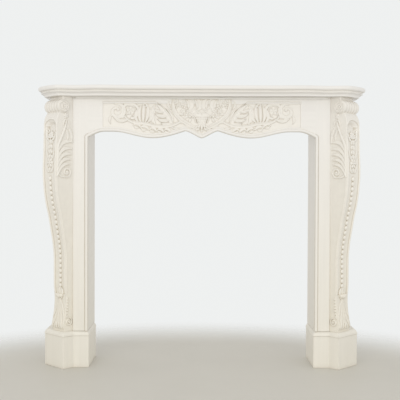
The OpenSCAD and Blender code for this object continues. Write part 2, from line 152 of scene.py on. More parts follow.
def stroke(field, line, widths, height, dish=0.0, vein=0.0, lean=0.0):
    # a carved band along a line: round, or hollowed by dish, with a groove down its middle for vein
    near, off, along, side = nearLine(field, line, max(widths) / 2)
    half = throughKnots(list(zip(np.linspace(0, 1, len(widths)), widths)), along) / 2
    ratio = off / half
    inside = ratio < 1
    near, ratio, along, side = near[inside], ratio[inside], along[inside], side[inside]
    shape = np.sqrt(1 - ratio ** 2) ** 0.8
    shape *= 1 - dish * (1 - ratio ** 2) ** 1.5
    shape -= vein * np.exp(-(ratio / 0.2) ** 2)
    shape *= 1 + lean * ratio * side
    raiseTo(field, near, height * shape)


def leaf(field, a, b, c, d, widths, height, count=10, **shape):
    stroke(field, bezier(a, b, c, d, count), widths, height, **shape)


def rosette(field, centre, radius, petals, height, turn=0.0, boss=0.3):
    du, dv = field["u"] - centre[0], field["v"] - centre[1]
    distance = np.hypot(du, dv)
    near = np.flatnonzero(distance < radius)
    distance = distance[near]
    wave = np.abs(np.cos(petals / 2 * (np.arctan2(dv[near], du[near]) - math.radians(turn))))
    reach = radius * (0.72 + 0.28 * wave ** 0.7)
    ratio = np.minimum(distance / reach, 1)
    petal = height * np.sqrt(1 - ratio ** 2) ** 0.7 * (0.45 + 0.55 * wave ** 0.6)
    petal *= smooth(ratio / 0.42 + 0.25)
    middle = height * 1.15 * np.sqrt(np.maximum(0, 1 - (distance / (boss * radius)) ** 2))
    raiseTo(field, near, np.maximum(petal, middle))


def dome(field, centre, radius, height, tall=1.0):
    ratio = np.hypot(field["u"] - centre[0], (field["v"] - centre[1]) / tall) / radius
    near = np.flatnonzero(ratio < 1)
    raiseTo(field, near, height * np.sqrt(1 - ratio[near] ** 2))


def husk(field, top, size, height):
    u, v = top
    for way in (-1, 1):
        leaf(field, (u, v), (u + way * size * 0.55, v - size * 0.2), (u + way * size * 0.7, v - size * 0.6),
             (u + way * size * 0.42, v - size * 1.05), (size * 0.2, size * 0.5, size * 0.12), height * 0.8,
             vein=0.15)
    leaf(field, (u, v + size * 0.1), (u, v - size * 0.3), (u, v - size * 0.7), (u, v - size * 1.2),
         (size * 0.25, size * 0.55, size * 0.1), height, vein=0.2)


def hollowOf(height, rounds=10):
    # how far each place lies under the mean of its surroundings: for the aged glazing in hollows and the
    # painted highlight on ridges
    mean = height.copy()
    for _ in range(rounds):
        padded = np.pad(mean, 1, mode="edge")
        mean = (padded[1:-1, 1:-1] * 2 + padded[:-2, 1:-1] + padded[2:, 1:-1]
                + padded[1:-1, :-2] + padded[1:-1, 2:]) / 6
    return (mean - height) / mm


def addValues(mesh, name, values):
    every = np.zeros(len(mesh.vertices), np.float32)
    every[:len(values)] = values
    mesh.attributes.new(name, "FLOAT", "POINT").data.foreach_set("value", every)


def makeMesh(name, points, faces, hollow=None, creaseAngle=38):
    mesh = bpy.data.meshes.new(name)
    mesh.from_pydata(np.asarray(points).tolist(), [], faces)
    mesh.validate()
    mesh.shade_smooth()
    mesh.set_sharp_from_angle(angle=math.radians(creaseAngle))
    if hollow is not None:
        addValues(mesh, "hollow", hollow)
    return mesh


def gridFaces(rows, columns, wrapped=False, start=0):
    r = np.arange(rows - 1)[:, None]
    c = np.arange(columns if wrapped else columns - 1)[None, :]
    a = r * columns + c
    b = r * columns + (c + 1) % columns
    return (np.stack([a, b, b + columns, a + columns], -1).reshape(-1, 4) + start).tolist()


def slab(x, z, out, backY, mitre=0):
    # a board with a worked front and a plain back, which stops short by the mitre at its high end
    front = np.stack([x, faceY - out, z], -1)
    back = np.stack([front[0], front[-1]])
    back[:, :, 1] = backY
    if mitre:
        low, high = x[0, 0], x[0, -1]
        back[:, :, 0] = low + (back[:, :, 0] - low) * (high - mitre - low) / (high - low)
    rows, columns = x.shape
    points = np.concatenate([front.reshape(-1, 3), back.reshape(-1, 3)])
    faces = gridFaces(rows, columns)
    top, lowBack, topBack = (rows - 1) * columns, rows * columns, (rows + 1) * columns
    for c in range(columns - 1):
        faces.append([top + c, top + c + 1, topBack + c + 1, topBack + c])
        faces.append([c + 1, c, lowBack + c, lowBack + c + 1])
        faces.append([lowBack + c + 1, lowBack + c, topBack + c, topBack + c + 1])
    last = columns - 1
    faces.append([r * columns for r in range(rows)] + [topBack, lowBack])
    faces.append([r * columns + last for r in reversed(range(rows))] + [lowBack + last, topBack + last])
    return points, faces


def tube(rings):
    # a closed skin through rings, each anticlockwise seen from its far end
    rows, columns = rings.shape[:2]
    faces = gridFaces(rows, columns, wrapped=True)
    faces.append(list(reversed(range(columns))))
    faces.append([(rows - 1) * columns + c for c in range(columns)])
    return rings.reshape(-1, 3), faces


def mirrored(points, faces):
    return points * np.array([-1, 1, 1]), [list(reversed(f)) for f in faces]


def newObject(name, data):
    made = bpy.data.objects.new(name, data)
    bpy.context.scene.collection.objects.link(made)
    return made


def addPiece(name, mesh, material, slotName, *nodes):
    piece = newObject(name, mesh)
    mesh.materials.append(material)
    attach(piece, "root")
    if nodes:
        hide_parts(*nodes)
    return piece


def addSide(side, name, points, faces, material, slotName, node=None, hollow=None, creaseAngle=38):
    # a piece as given on the right, or its mirror image on the left, in place of the model's own piece
    shape = (points, faces) if side == "Right" else mirrored(points, faces)
    mesh = makeMesh(name + side, *shape, hollow, creaseAngle)
    addPiece(name + side, mesh, material, slotName, *([node + "_" + side.lower()] if node else []))


def addPair(*piece):
    for side in ("Right", "Left"):
        addSide(side, *piece)


def newGroup(name, inputs, outputs):
    # a shader node group; an input's kind follows from its value
    group = bpy.data.node_groups.new(name, "ShaderNodeTree")
    for socketName, value in inputs.items():
        kind = {1: "Float", 3: "Vector", 4: "Color"}[np.size(value)]
        socket = group.interface.new_socket(socketName, in_out="INPUT", socket_type="NodeSocket" + kind)
        socket.default_value = value
    for socketName, kind in outputs.items():
        group.interface.new_socket(socketName, in_out="OUTPUT", socket_type="NodeSocket" + kind)
    return group, group.nodes.new("NodeGroupInput").outputs, group.nodes.new("NodeGroupOutput")


def feed(tree, node, inputs):
    # each input, by its name or number, gets a value or a link from another node
    for key, value in inputs.items():
        if isinstance(value, bpy.types.NodeSocket):
            tree.links.new(value, node.inputs[key])
        else:
            node.inputs[key].default_value = value


def addNode(tree, kind, inputs=None, **settings):
    node = tree.nodes.new(kind)
    for key, value in settings.items():
        setattr(node, key, value)
    feed(tree, node, inputs or {})
    return node


def maths(tree, operation, *values, clamp=False):
    inputs = dict(enumerate(values))
    return addNode(tree, "ShaderNodeMath", inputs, operation=operation, use_clamp=clamp).outputs[0]


def mixColours(tree, factor, a, b, blendType="MIX"):
    inputs = {0: factor, 6: a, 7: b}
    return addNode(tree, "ShaderNodeMix", inputs, data_type="RGBA", blend_type=blendType).outputs[2]


def noise(tree, vector, scale, detail=3.0):
    inputs = {"Vector": vector, "Scale": scale, "Detail": detail, "Roughness": 0.55}
    return addNode(tree, "ShaderNodeTexNoise", inputs).outputs["Fac"]


def brushGroup():
    # strokes of the paint brush and the grain of the wood showing through them
    group, given, out = newGroup("brushedPaint", {"Run": (1, 1, 1), "Grain": 0.5},
                                 {"Height": "Float", "Streaks": "Float"})
    place = addNode(group, "ShaderNodeTexCoord").outputs["Object"]
    stretched = addNode(group, "ShaderNodeVectorMath", {0: place, 1: given["Run"]}, operation="MULTIPLY")
    run = stretched.outputs[0]
    bristles = noise(group, run, 520, 2)
    streaks = noise(group, run, 70, 4)
    pores = noise(group, run, 1500, 1)
    lumps = noise(group, place, 60, 2)
    height = maths(group, "MULTIPLY", bristles, 0.5)
    height = maths(group, "ADD", height, maths(group, "MULTIPLY", lumps, 0.5))
    height = maths(group, "ADD", height, maths(group, "MULTIPLY", pores, given["Grain"]))
    feed(group, out, {"Height": height, "Streaks": streaks})
    return group


def patinaAndPaintedLightGroup():
    # warm glazing left in the hollows, a painted highlight on the ridges, painted shade where pieces meet,
    # and painted warm floor bounce low down
    group, given, out = newGroup(
        "patinaAndPaintedLight",
        {"Paint": (0.8, 0.78, 0.7, 1), "Carved Paint": (0.8, 0.78, 0.7, 1), "Glaze And Shade Colour": (0.3, 0.24, 0.15, 1),
         "Glaze Amount": 0.5, "Hollow Depth": 1.0, "Corner Shade": 0.4, "Streaks": 0.5},
        {"Color": "Color", "Glaze And Shade Mask": "Float"})
    place = addNode(group, "ShaderNodeTexCoord").outputs["Object"]
    hollow = addNode(group, "ShaderNodeAttribute", attribute_name="hollow").outputs["Fac"]
    deep = maths(group, "DIVIDE", hollow, given["Hollow Depth"])
    blotches = noise(group, place, 38, 3)
    uneven = maths(group, "ADD", maths(group, "MULTIPLY", blotches, 1.1), 0.45)
    inHollow = maths(group, "MULTIPLY", maths(group, "MAXIMUM", deep, 0.0), uneven)
    # painted shade: an ambient occlusion node darkens corners, creases and gaps between pieces towards the
    # hollow colour
    occlusionShade = addNode(group, "ShaderNodeAmbientOcclusion", {"Distance": 22 * mm}, samples=8)
    corner = maths(group, "SUBTRACT", 1.0, occlusionShade.outputs["AO"])
    corner = maths(group, "POWER", corner, 1.9)
    corner = maths(group, "MULTIPLY", corner, given["Corner Shade"])
    # the mask below adds the painted corner shade to the glazing in the hollows
    glazeAndShade = maths(group, "MULTIPLY", inHollow, given["Glaze Amount"])
    glazeAndShade = maths(group, "ADD", glazeAndShade, corner, clamp=True)
    tone = maths(group, "ADD", maths(group, "MULTIPLY", given["Streaks"], 0.10), 0.95)
    # painted warm bounce light from the floor: the paint is tinted yellower towards the floor
    split = addNode(group, "ShaderNodeSeparateXYZ", {0: place})
    low = maths(group, "SUBTRACT", 1.0, split.outputs["Z"], clamp=True)
    streakAndBounceTint = addNode(group, "ShaderNodeCombineColor")
    for name, fade in (("Red", 0.0), ("Green", 0.018), ("Blue", 0.085)):
        share = maths(group, "SUBTRACT", 1.0, maths(group, "MULTIPLY", low, fade))
        feed(group, streakAndBounceTint, {name: maths(group, "MULTIPLY", tone, share)})
    carved = addNode(group, "ShaderNodeAttribute", attribute_name="carved").outputs["Fac"]
    paint = mixColours(group, carved, given["Paint"], given["Carved Paint"])
    paint = mixColours(group, 1.0, paint, streakAndBounceTint.outputs[0], "MULTIPLY")
    # painted highlight: ridges are mixed towards a near-white cream
    ridge = maths(group, "MULTIPLY", maths(group, "MULTIPLY", deep, -0.5), 0.35, clamp=True)
    paint = mixColours(group, ridge, paint, (0.93, 0.91, 0.86, 1))
    colour = mixColours(group, glazeAndShade, paint, given["Glaze And Shade Colour"])
    feed(group, out, {"Color": colour, "Glaze And Shade Mask": glazeAndShade})
    return group


brushedPaint = brushGroup()
# the second group paints aged glazing together with painted shade, a painted highlight and painted floor
# bounce
patinaAndPaintedLight = patinaAndPaintedLightGroup()

# antique cream paint: on boards that run across, on boards that stand, and on the carving
plainPaint = {"paint": (0.83, 0.812, 0.783, 1), "amount": 0.2, "depth": 1.2, "roughness": 0.46, "bump": 0.10}
# the colour for the hollows in each finish also colours the painted shade in corners and gaps; the corner
# value sets how strong that painted shade is
finishes = {
    "creamRail": {**plainPaint, "run": (0.05, 1, 1), "glazeAndShade": (0.52, 0.45, 0.28, 1), "cornerShade": 0.55},
    "creamPost": {**plainPaint, "run": (1, 1, 0.05), "glazeAndShade": (0.44, 0.37, 0.26, 1), "cornerShade": 0.7},
    "creamCarved": {"run": (0.6, 1, 0.6), "paint": (0.84, 0.812, 0.762, 1), "glazeAndShade": (0.46, 0.38, 0.26, 1),
                    "amount": 0.125, "depth": 1.2, "cornerShade": 0.24, "roughness": 0.42, "bump": 0.12},
}


def paintedWood(name):
    finish = finishes[name]
    material = bpy.data.materials.new(name)
    material.use_nodes = True
    tree = material.node_tree
    strokes = {"Run": finish["run"], "Grain": 0.35}
    brush = addNode(tree, "ShaderNodeGroup", strokes, node_tree=brushedPaint).outputs
    # the group below paints aged glazing, and also painted shade in corners, a painted highlight on ridges
    # and painted floor bounce
    patinaAndLight = addNode(tree, "ShaderNodeGroup", {
        "Paint": finish["paint"], "Carved Paint": finishes["creamCarved"]["paint"], "Glaze And Shade Colour": finish["glazeAndShade"],
        "Glaze Amount": finish["amount"], "Hollow Depth": finish["depth"], "Corner Shade": finish["cornerShade"],
        "Streaks": brush["Streaks"]}, node_tree=patinaAndPaintedLight).outputs
    # rougher where the glazing and the painted corner shade lie
    dull = maths(tree, "MULTIPLY", patinaAndLight["Glaze And Shade Mask"], 0.3)
    rough = maths(tree, "ADD", dull, maths(tree, "MULTIPLY", brush["Streaks"], 0.16))
    rough = maths(tree, "ADD", rough, finish["roughness"] - 0.08)
    bump = addNode(tree, "ShaderNodeBump", {"Strength": finish["bump"], "Distance": 0.6 * mm,
                                            "Height": brush["Height"]})
    feed(tree, tree.nodes["Principled BSDF"], {"Base Color": patinaAndLight["Color"], "Roughness": rough,
                                               "Normal": bump.outputs[0], "IOR": 1.47})
    return material


creamRail = paintedWood("creamRail")
creamPost = paintedWood("creamPost")
creamCarved = paintedWood("creamCarved")
print("finishes made")

shelf = {"cove": 13 * mm, "fillet": 9 * mm, "lip": 17 * mm, "underInset": 24 * mm, "filletInset": 12 * mm,
         "lipInset": 8 * mm, "middleBack": 8 * mm, "hollowBack": 13 * mm, "noseBack": 6 * mm,
         "noseOut": 20 * mm, "swellFrom": 275 * mm, "swell": 160 * mm, "hollow": 65 * mm,
         "cornerBack": 63 * mm, "cornerTurn": 25 * mm}


def shelfEdge():
    # the right half of the front edge, then the end, in x and distance from the wall
    low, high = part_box("shelf")
    fullest, half, turn = wallY - low.y, high.x, shelf["cornerTurn"]
    noseEnd, noseDeep = noseX + shelf["noseOut"], fullest - shelf["noseBack"]
    cornerDeep = noseDepth - shelf["cornerBack"]
    middleDeep, hollowDeep = fullest - shelf["middleBack"], fullest - shelf["hollowBack"]
    knots = [[0, middleDeep], [noseEnd - shelf["swellFrom"], middleDeep], [noseEnd - shelf["swell"], fullest],
             [noseEnd - shelf["hollow"], hollowDeep], [noseEnd, noseDeep]]
    x = np.linspace(0, noseEnd, 120)
    return joined(np.stack([x, throughKnots(knots, x)], 1),
                  bezier((noseEnd, noseDeep), (noseEnd + turn, noseDeep), (half, cornerDeep + turn),
                         (half, cornerDeep), 30),
                  np.stack([np.full(12, half), np.linspace(cornerDeep, 0, 12)], 1))


def shelfProfile():
    # height over the underside and how far set in, from the underside to the top
    top, under, inset = shelf["cove"] + shelf["fillet"], shelf["underInset"], shelf["filletInset"]
    lipHalf = shelf["lip"] / 2
    cove = [(2 * mm + (shelf["cove"] - 2 * mm) * math.sin(a), under - (under - 10 * mm) * (1 - math.cos(a)))
            for a in np.linspace(0, math.pi / 2, 12)]
    steps = ((0.2, 9.7), (1.6, 9.7), (1.9, 10.2), (2.1, inset / mm))
    fillet = [(shelf["cove"] + up * mm, back * mm) for up, back in steps]
    fillet += [(top - 0.6 * mm, inset), (top - 0.2 * mm, inset - 0.5 * mm)]
    lip = [(top + lipHalf * (1 + math.sin(a)), shelf["lipInset"] * (1 - math.cos(a) ** 0.8))
           for a in np.linspace(-1.5, 1.5, 19)]
    return [(0, under + 6 * mm), (0.2 * mm, under + 0.4 * mm)] + cove + fillet + lip


def shelfMesh():
    # underside, worked edge and flat top
    edge = shelfEdge()
    edge = np.concatenate([edge[:0:-1] * np.array([-1, 1]), edge])
    steps = np.gradient(edge, axis=0)
    steps /= np.hypot(steps[:, 0], steps[:, 1])[:, None]
    inward = np.stack([steps[:, 1], -steps[:, 0]], 1)
    inward[0], inward[-1] = (1, 0), (-1, 0)
    rings = [np.stack([edge[:, 0] + inward[:, 0] * inset, wallY - edge[:, 1] - inward[:, 1] * inset,
                       np.full(len(edge), shelfLow + height)], 1) for height, inset in shelfProfile()]
    rows, count = len(rings), len(edge)
    points = np.concatenate(rings)
    faces = gridFaces(rows, count)
    top = (rows - 1) * count
    faces.append(list(range(top, top + count)))
    faces.append(list(reversed(range(count))))
    faces.append([r * count for r in range(rows)] + [r * count + count - 1 for r in reversed(range(rows))])
    return makeMesh("shelfBoard", points, faces)


addPiece("shelfBoard", shelfMesh(), creamRail, "cream_paint", "shelf")
print("shelf made")

# frieze, carved panel and pilasters share the bead round the opening
panel = {"endBorder": 58 * mm, "topBorder": 26 * mm, "lowBorder": 17 * mm, "sink": 5 * mm, "ground": 2 * mm,
         "gap": 0.3 * mm, "designHalf": 388.0, "designHeight": 132.0, "step": 1.15 * mm,
         "crestHalf": 150 * mm, "crestGap": 7.5 * mm, "tooling": 0.12 * mm}
friezeBoard = {"thick": 24 * mm, "step": 1.2 * mm, "filletFrom": 174.0, "filletLow": 1.2 * mm,
               "filletHigh": 8.6 * mm, "filletOut": 3.6 * mm, "wall": 1.2 * mm, "lap": 4 * mm,
               "spill": 6 * mm, "rows": (15, 2, 3, 12, 3, 2, 23)}
pilaster = {"step": 1.5 * mm, "bendHeight": 24 * mm, "bendLength": 50 * mm, "rows": (24, 50, 12)}
panelHalf = openHalf - panel["endBorder"]
panelTop = shelfLow - panel["topBorder"]


def openingEdge():
    # the edge of the opening on the right, from the middle of the frieze to the foot of the pilaster
    x = np.linspace(0, openHalf, 260)
    over = np.stack([x, lobeZ + scallop(x)], 1)
    down = np.array([[openHalf, capTop]])
    return np.concatenate([over, down]) / mm


openingLine = openingEdge()


def beadRelief(x, z):
    # the bead round the opening, with the quirk cut beside it
    field = newField(np.abs(x) / mm, z / mm)
    width, out = edgeBead["width"] / mm, edgeBead["out"] / mm
    near, off, _, _ = nearLine(field, openingLine, width + 4)
    ratio = (off - width / 2) / (width / 2)
    height = np.where(np.abs(ratio) < 1, out * np.sqrt(np.maximum(0, 1 - ratio ** 2)), 0)
    quirkMiddle = width + edgeBead["quirk"] / mm / 2
    quirk = 1 - ((off - quirkMiddle) / (edgeBead["quirk"] / mm / 2)) ** 2
    height -= edgeBead["quirkDepth"] / mm * np.maximum(0, quirk)
    field["h"][near] = height
    return field["h"].reshape(np.shape(x)) * mm


def outerScroll(field):
    # an open scroll that turns back on itself and throws two leaves off its foot
    stroke(field, spiral((332, 104), 29, 24, 75, 285, 0.98), (7, 14, 17, 13), 6.0, dish=0.5)
    stroke(field, spiral((332, 104), 24, 7, 285, 500, 0.95), (13, 11, 8), 5.4, dish=0.35)
    dome(field, (330, 108), 5.5, 6.0)
    leaf(field, (342, 76), (322, 62), (304, 62), (288, 74), (5, 15, 13, 6), 5.6, 18, vein=0.3, lean=0.2)
    leaf(field, (338, 84), (318, 78), (304, 78), (296, 90), (4, 10, 3), 4.6, 14, vein=0.2)
    leaf(field, (352, 88), (362, 76), (364, 64), (356, 54), (5, 10, 2), 4.2, 12, vein=0.25)
    leaf(field, (318, 130), (306, 136), (298, 134), (294, 126), (4, 8, 2), 4.4, vein=0.2)


def roseScroll(field):
    # a dished ring round a rose, running out into the long stem
    ring = spiral((281, 104), 33, 31, 262, -10, 0.88)
    stroke(field, ring, (10, 11, 12, 9), 6.4, dish=0.4)
    stroke(field, spiral((281, 104), 24, 22, 262, 0, 0.9), (3, 4, 3), 3.2)
    rosette(field, (280, 105), 17, 5, 6.0, turn=18)
    for turn in (205, 255, 310):
        tip = (280 + 24 * math.cos(math.radians(turn)), 104 + 20 * math.sin(math.radians(turn)))
        leaf(field, (280, 104), (280 + (tip[0] - 280) * 0.4, 100), tip, tip, (3, 7, 2), 3.4, 8, vein=0.2)


def leafFingers(field):
    # a fanned leaf whose fingers close to a curled head, and the smooth leaf behind it
    leaf(field, (184, 56), (202, 76), (198, 104), (184, 126), (8, 24, 24, 5), 3.8, 16, lean=0.25)
    fingers = ((256, 249, 113), (243, 240, 125), (230, 228, 132), (217, 214, 129), (204, 200, 113))
    for i, (foot, tip, high) in enumerate(fingers):
        bow = (foot - 230) * 0.5
        leaf(field, (foot * 0.6 + 92, 58), (foot + bow, 78), (tip + bow * 0.8, high - 20), (tip, high),
             (5, 13, 14, 4), 5.4 + 0.3 * (2 - abs(i - 2)), 16, vein=0.2, lean=0.1 * (i - 2))
    stroke(field, spiral((223, 124), 9, 3, 20, 330, 1.0, 26), (4, 6, 5), 6.8, dish=0.2)


def mainStem(field):
    # the long stem from the rose to the heart, with a fine rib on its upper edge
    line = joined(bezier((300, 80), (288, 62), (264, 56), (236, 56), 16),
                  bezier((236, 56), (212, 56), (198, 46), (168, 44), 16),
                  bezier((168, 44), (140, 42), (114, 44), (84, 62), 14))
    stroke(field, line, (7, 11, 13, 15, 12, 8), 6.2, dish=0.35)
    stroke(field, line + np.array([0, 4.5]), (2, 5, 4, 5, 3), 6.6)


def tallLeaf(field):
    # a notched leaf that leans outwards, smooth on its inner edge, with its lobes on the outer side
    rib = bezier((116, 50), (126, 80), (146, 106), (178, 131), 26)
    stroke(field, rib, (12, 22, 18, 4), 5.0, dish=0.2)
    lobes = ((122, 56, 158, 58, 13), (127, 68, 173, 74, 16), (137, 84, 182, 94, 16), (151, 101, 189, 114, 13))
    for x, z, tipX, tipZ, wide in lobes:
        leaf(field, (x, z), (x + 14, z - 3), (tipX - 10, tipZ - 9), (tipX, tipZ),
             (7, wide, wide * 0.85, 3), 6.0, 14, vein=0.3, lean=-0.15)
    stroke(field, rib + np.array([-6, 4]), (3, 6, 5, 2), 6.8)
    leaf(field, (112, 60), (110, 80), (122, 98), (138, 112), (4, 9, 3), 4.2, 14, vein=0.2)


def lowSprays(field):
    # arched lobes that hang under the stem
    feet = ((268, 56, 26), (240, 46, 30), (205, 40, 27), (174, 36, 25), (146, 36, 24))
    for i, (x, z, reach) in enumerate(feet):
        leaf(field, (x, z - 8), (x - reach * 0.2, z + 2), (x - reach * 0.75, z + 1), (x - reach, z - 13),
             (5, 11, 13, 8), 4.8 + 0.15 * i, 14, lean=0.3)
        leaf(field, (x - 3, z - 9), (x - 6, z - 17), (x - 14, z - 20), (x - 21, z - 16),
             (4, 9, 8, 3), 3.8, 12, vein=0.3)
    leaf(field, (118, 42), (106, 34), (94, 32), (84, 38), (6, 9, 3), 4.2, vein=0.2)


def heartStem(field):
    # the broad band that frames the basket on each side, with a curl at its head and leaves on its back
    line = joined(bezier((110, 148), (114, 128), (112, 108), (99, 90), 18),
                  bezier((99, 90), (80, 66), (50, 50), (14, 33)))
    stroke(field, line, (10, 17, 18, 17, 9), 6.8, dish=0.3)
    stroke(field, line + np.array([3, 3]), (2, 5, 6, 5, 2), 7.4)
    stroke(field, spiral((104, 141), 12, 4, 80, 400, 1.0), (6, 7, 5), 7.2, dish=0.2)
    leaf(field, (120, 112), (130, 118), (134, 130), (127, 142), (5, 11, 3), 5.2, vein=0.3)
    leaf(field, (92, 74), (84, 60), (74, 56), (62, 60), (4, 9, 3), 5.6, vein=0.25)
    leaf(field, (64, 54), (60, 44), (50, 38), (38, 38), (5, 10, 3), 4.2, 12, vein=0.3)
    leaf(field, (36, 42), (34, 34), (28, 28), (20, 27), (4, 8, 3), 3.8, vein=0.3)


def crestRow(field):
    # smooth shell petals along the top, with small flowers between them
    for x, high in ((52, 148), (18, 151)):
        petal = bezier((x - 6, 112), (x - 15, 124), (x - 9, 142), (x + 3, high), 16)
        stroke(field, petal, (12, 25, 23, 5), 6.0, dish=0.2, lean=0.45)
        stroke(field, petal + np.array([9, 0]), (3, 13, 12, 3), 6.6, lean=-0.3)
    rosette(field, (87, 132), 13, 5, 6.0, turn=40)
    leaf(field, (76, 120), (72, 132), (68, 142), (62, 149), (5, 9, 3), 5.2, vein=0.3)
    leaf(field, (0, 112), (0, 126), (0, 138), (0, 153), (7, 14, 12, 2), 7.4, vein=0.3)
    for x, z in ((68, 117), (33, 113), (98, 119), (76, 146)):
        dome(field, (x, z), 4.5, 5.0)


def flowerBasket(field):
    # flowers heaped over a small basket, on a low swelling
    leaf(field, (-40, 104), (-14, 98), (14, 98), (40, 104), (40, 54, 54, 40), 3.2, 12)
    stroke(field, np.array([(0, 58.0), (0, 82)]), (30, 46), 5.0)
    for x, z, radius, petals, height, turn in ((47, 102, 14, 6, 6.6, 20), (72, 104, 11, 5, 5.6, 0),
                                               (15, 103, 12, 5, 7.2, 30), (33, 88, 10, 5, 6.2, 60),
                                               (0, 94, 9, 6, 7.0, 0)):
        rosette(field, (x, z), radius, petals, height, turn)
    for x, z in ((25, 112), (59, 90), (60, 114), (46, 82), (5, 112), (24, 96)):
        dome(field, (x, z), 5, 5.2)
    for x, z, turn in ((60, 78, -30), (44, 68, -60), (82, 90, 10)):
        du, dv = 13 * math.cos(math.radians(turn)), 13 * math.sin(math.radians(turn))
        leaf(field, (x - du, z - dv), (x - du / 3, z - dv / 2 + 4), (x + du / 2, z + dv / 2 + 3),
             (x + du, z + dv), (3, 10, 2), 4.6, 9, vein=0.3)
    for i, (half, z) in enumerate(((25, 82), (22, 75), (18, 68), (14, 61))):
        leaf(field, (-half, z), (-half / 3, z - 2), (half / 3, z - 2), (half, z), (5, 6, 5), 6.8 - 0.5 * i)
    for i in range(4):
        x = 3 + 6.2 * i
        leaf(field, (x, 60), (x * 1.15, 68), (x * 1.22, 74), (x * 1.3, 81), (4, 4.6, 4), 6.2, 8)


def centreDrop(field):
    # the tassel that hangs to the lowest point of the edge
    husk(field, (0, 53), 19, 7.4)
    leaf(field, (9, 46), (20, 46), (26, 38), (20, 28), (4, 8, 3), 5.2, vein=0.25)
    dome(field, (0, 55), 5.5, 8)
    dome(field, (0, 27), 4.5, 5.5)


def carvedRelief(x, z):
    # height of the carving over its ground; both halves are alike
    field = newField(np.abs(x) * panel["designHalf"] / panelHalf,
                     (z - lobeZ) * panel["designHeight"] / (panelTop - lobeZ))
    wander = np.sin(x / mm / 23 + 1.3) * np.sin(z / mm / 17) * 0.5 + np.sin(x / mm / 61) * 0.7
    field["u"] += wander.ravel()
    for carve in (outerScroll, roseScroll, leafFingers, lowSprays, mainStem, tallLeaf, heartStem,
                  crestRow, flowerBasket, centreDrop):
        carve(field)
    return field["h"].reshape(np.shape(x)) * mm


def boardGrid(xs, edges, counts):
    # places on a board's face in bands between edges that follow x, with so many rows in each band
    rows = [low + (high - low) * i / count
            for low, high, count in zip(edges, edges[1:], counts) for i in range(count)]
    z = np.array(rows + [edges[-1]])
    return np.repeat(xs[None, :], len(z), 0), z


def acrossBoard(step, *stops):
    # places across the board in even steps that fall on both cusps of its lower edge and on the other stops
    stops = sorted([0, cuspX, *stops])
    half = [np.linspace(a, b, max(1, int((b - a) / step)), endpoint=False) for a, b in zip(stops, stops[1:])]
    half = np.concatenate(half + [[stops[-1]]])
    return np.concatenate([-half[:0:-1], half])


def buildFrieze():
    wall, lap = friezeBoard["wall"], friezeBoard["lap"]
    xs = acrossBoard(friezeBoard["step"], panelHalf - wall, panelHalf, openHalf)
    edge = lobeZ + scallop(xs)
    floor = edge + panel["lowBorder"]
    edges = [edge, floor, floor + wall, floor + lap]
    edges += [np.full(len(xs), high) for high in (panelTop - lap, panelTop - wall, panelTop, shelfLow)]
    x, z = boardGrid(xs, edges, friezeBoard["rows"])
    out = beadRelief(x, z)
    # distance inside the sinking, negative outside
    inside = np.minimum(np.minimum(panelHalf - np.abs(x), z - floor), panelTop - z)
    out = np.where(inside > 0, -panel["sink"] * smooth(inside / wall), out)
    ridge = (z - panelTop - friezeBoard["filletLow"]) / (friezeBoard["filletHigh"] - friezeBoard["filletLow"])
    fillet = friezeBoard["filletOut"] * np.sqrt(np.maximum(0, 1 - (2 * ridge - 1) ** 2))
    fillet *= smooth((np.abs(x) / mm - friezeBoard["filletFrom"]) / 5) * (np.abs(x) < panelHalf)
    out = np.where(inside <= 0, np.maximum(out, fillet), out)
    # the carving runs on over the borders, and a little way under the panel's edge
    carving = carvedRelief(x, z) - (panel["sink"] - panel["ground"])
    spill = friezeBoard["spill"]
    over = (inside <= 0) & (inside > -spill) | (z > panelTop) & (np.abs(x) < panel["crestHalf"])
    over &= z < shelfLow - panel["crestGap"]
    fade = np.where(z < panelTop, smooth((inside + spill) / (3 * mm)), 1)
    out = np.where(over, np.maximum(out, carving * fade), out)
    under = (inside > 0) & (inside < lap + wall)
    out = np.where(under, np.maximum(out, carving - 0.5 * mm), out)
    mesh = makeMesh("friezeBoard", *slab(x, z, out, faceY + friezeBoard["thick"]), hollowOf(out).ravel())
    addValues(mesh, "carved", (over & (carving * fade >= out - 0.2 * mm) & (carving > 0)).ravel())
    return mesh


def buildPanel():
    xs = acrossBoard(panel["step"], panelHalf - panel["gap"])
    low = lobeZ + scallop(xs) + panel["lowBorder"] + panel["gap"]
    high = np.full(len(xs), panelTop - panel["gap"])
    x, z = boardGrid(xs, [low, high], [int(np.max(high - low) / panel["step"])])
    relief = carvedRelief(x, z)
    # faint marks of the gouge on the bare ground
    acrossMarks = np.sin(x / mm * 1.9 + 2 * np.sin(z / mm * 0.35))
    upMarks = np.sin(z / mm * 1.7 + 1.5 * np.sin(x / mm * 0.4))
    relief = np.where(relief <= 0, acrossMarks * upMarks * panel["tooling"], relief)
    out = relief - panel["sink"] + panel["ground"]
    board = slab(x, z, out, faceY + panel["sink"] - 0.05 * mm)
    return makeMesh("carvedPanel", *board, hollowOf(out, 14).ravel(), 60)


def buildPilaster():
    low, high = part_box("pilaster_right")
    xs = np.linspace(low.x, high.x, int((high.x - low.x) / pilaster["step"]))
    bendTop = lobeZ + pilaster["bendHeight"]
    bendLow = bendTop - pilaster["bendLength"]
    lowRows, bendRows, topRows = pilaster["rows"]
    zs = np.concatenate([np.linspace(low.z, bendLow, lowRows, endpoint=False),
                         np.linspace(bendLow, bendTop, bendRows, endpoint=False),
                         np.linspace(bendTop, high.z, topRows)])
    x, z = np.meshgrid(xs, zs)
    out = beadRelief(x, z)
    return slab(x, z, out, high.y, (high.y - faceY) * (math.sqrt(2) - 1)) + (hollowOf(out).ravel(),)


